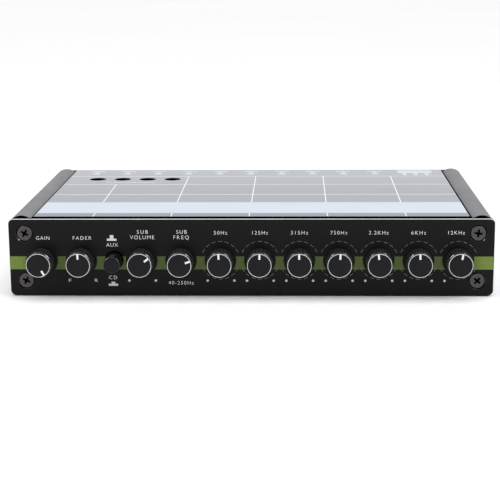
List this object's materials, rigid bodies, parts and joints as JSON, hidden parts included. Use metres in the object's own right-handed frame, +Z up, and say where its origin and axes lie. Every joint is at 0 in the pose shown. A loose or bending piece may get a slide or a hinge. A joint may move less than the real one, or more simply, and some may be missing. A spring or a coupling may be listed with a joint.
{
  "type": "graphic equalizer",
  "caption": "Slim rotary graphic equalizer with a row of ribbed knobs and a push button on its front, screwed end plates, rounded side rails, and coaxial jacks behind.",
  "frame": {"origin": "centre of the bounding box's bottom face, on the surface that the side rails stand on, at the middle of the rails' length", "axes": "+X to the right of a user who faces the knobs, along the width; -Y towards the user; +Z up, away from the surface"},
  "size_m": [0.18, 0.128, 0.0304],
  "materials": {
    "front_plate": "satin black anodised, printed",
    "rail": "matte grey anodised",
    "silver_cover": "satin silver-grey paint, printed",
    "black_steel": "fine-textured black powder coat",
    "screw": "black nickel plate",
    "knob": "satin black",
    "shaft": "turned",
    "pot_case": "folded plated steel",
    "black_plastic": "moulded",
    "board": "green solder mask",
    "jack": "black moulding with nickel-plated sleeves",
    "terminal": "moulded",
    "capacitor_sleeve": "shrink sleeve"
  },
  "bodies": {
    "chassis": {"front_panel": "front_plate", "rear_panel": "black_steel", "left_side_rail": "rail", "right_side_rail": "rail", "top_cover": "silver_cover", "bottom_cover": "black_steel", "front_screw_lower_left": "screw", "front_screw_lower_right": "screw", "front_screw_upper_left": "screw", "front_screw_upper_right": "screw", "rear_screw_lower_left": "screw", "rear_screw_lower_right": "screw", "rear_screw_upper_left": "screw", "rear_screw_upper_right": "screw", "gain_potentiometer": "pot_case", "fader_potentiometer": "pot_case", "sub_volume_potentiometer": "pot_case", "sub_frequency_potentiometer": "pot_case", "band_50hz_potentiometer": "pot_case", "band_125hz_potentiometer": "pot_case", "band_315hz_potentiometer": "pot_case", "band_750hz_potentiometer": "pot_case", "band_2200hz_potentiometer": "pot_case", "band_6khz_potentiometer": "pot_case", "band_12khz_potentiometer": "pot_case", "source_switch_body": "pot_case", "main_board": "board", "main_input_jacks": "jack", "aux_input_jacks": "jack", "front_output_jacks": "jack", "rear_output_jacks": "jack", "sub_output_jacks": "jack", "power_terminal": "terminal", "filter_capacitor": "capacitor_sleeve", "voltage_regulator": "black_plastic", "power_inductor": "black_plastic"},
    "gain_control": {"gain_knob": "knob", "gain_shaft": "shaft"},
    "fader_control": {"fader_knob": "knob", "fader_shaft": "shaft"},
    "sub_volume_control": {"sub_volume_knob": "knob", "sub_volume_shaft": "shaft"},
    "sub_frequency_control": {"sub_frequency_knob": "knob", "sub_frequency_shaft": "shaft"},
    "band_50hz_control": {"band_50hz_knob": "knob", "band_50hz_shaft": "shaft"},
    "band_125hz_control": {"band_125hz_knob": "knob", "band_125hz_shaft": "shaft"},
    "band_315hz_control": {"band_315hz_knob": "knob", "band_315hz_shaft": "shaft"},
    "band_750hz_control": {"band_750hz_knob": "knob", "band_750hz_shaft": "shaft"},
    "band_2200hz_control": {"band_2200hz_knob": "knob", "band_2200hz_shaft": "shaft"},
    "band_6khz_control": {"band_6khz_knob": "knob", "band_6khz_shaft": "shaft"},
    "band_12khz_control": {"band_12khz_knob": "knob", "band_12khz_shaft": "shaft"},
    "source_button": {"source_button_cap": "knob", "source_switch_plunger": "black_plastic"}
  },
  "joints": [
    {"name": "gain_turn", "type": "hinge", "parent": "chassis", "child": "gain_control", "pos_m": [-0.07775, -0.055, 0.0138], "axis": [0, 1, 0], "range_deg": [-300, 0]},
    {"name": "fader_turn", "type": "hinge", "parent": "chassis", "child": "fader_control", "pos_m": [-0.06305, -0.055, 0.0138], "axis": [0, 1, 0], "range_deg": [-150, 150]},
    {"name": "sub_volume_turn", "type": "hinge", "parent": "chassis", "child": "sub_volume_control", "pos_m": [-0.04048, -0.055, 0.0138], "axis": [0, 1, 0], "range_deg": [-202, 98]},
    {"name": "sub_frequency_turn", "type": "hinge", "parent": "chassis", "child": "sub_frequency_control", "pos_m": [-0.02582, -0.055, 0.0138], "axis": [0, 1, 0], "range_deg": [-218, 82]},
    {"name": "band_50hz_turn", "type": "hinge", "parent": "chassis", "child": "band_50hz_control", "pos_m": [-0.01116, -0.055, 0.0138], "axis": [0, 1, 0], "range_deg": [-146, 154]},
    {"name": "band_125hz_turn", "type": "hinge", "parent": "chassis", "child": "band_125hz_control", "pos_m": [0.0035, -0.055, 0.0138], "axis": [0, 1, 0], "range_deg": [-151, 149]},
    {"name": "band_315hz_turn", "type": "hinge", "parent": "chassis", "child": "band_315hz_control", "pos_m": [0.01816, -0.055, 0.0138], "axis": [0, 1, 0], "range_deg": [-148, 152]},
    {"name": "band_750hz_turn", "type": "hinge", "parent": "chassis", "child": "band_750hz_control", "pos_m": [0.03282, -0.055, 0.0138], "axis": [0, 1, 0], "range_deg": [-154, 146]},
    {"name": "band_2200hz_turn", "type": "hinge", "parent": "chassis", "child": "band_2200hz_control", "pos_m": [0.04748, -0.055, 0.0138], "axis": [0, 1, 0], "range_deg": [-142, 158]},
    {"name": "band_6khz_turn", "type": "hinge", "parent": "chassis", "child": "band_6khz_control", "pos_m": [0.06214, -0.055, 0.0138], "axis": [0, 1, 0], "range_deg": [-148, 152]},
    {"name": "band_12khz_turn", "type": "hinge", "parent": "chassis", "child": "band_12khz_control", "pos_m": [0.0768, -0.055, 0.0138], "axis": [0, 1, 0], "range_deg": [-160, 140]},
    {"name": "source_button_press", "type": "slide", "parent": "chassis", "child": "source_button", "axis": [0, 1, 0], "range_m": [0, 0.0025], "stiffness_N_per_m": 300, "springref_m": -0.002}
  ]
}
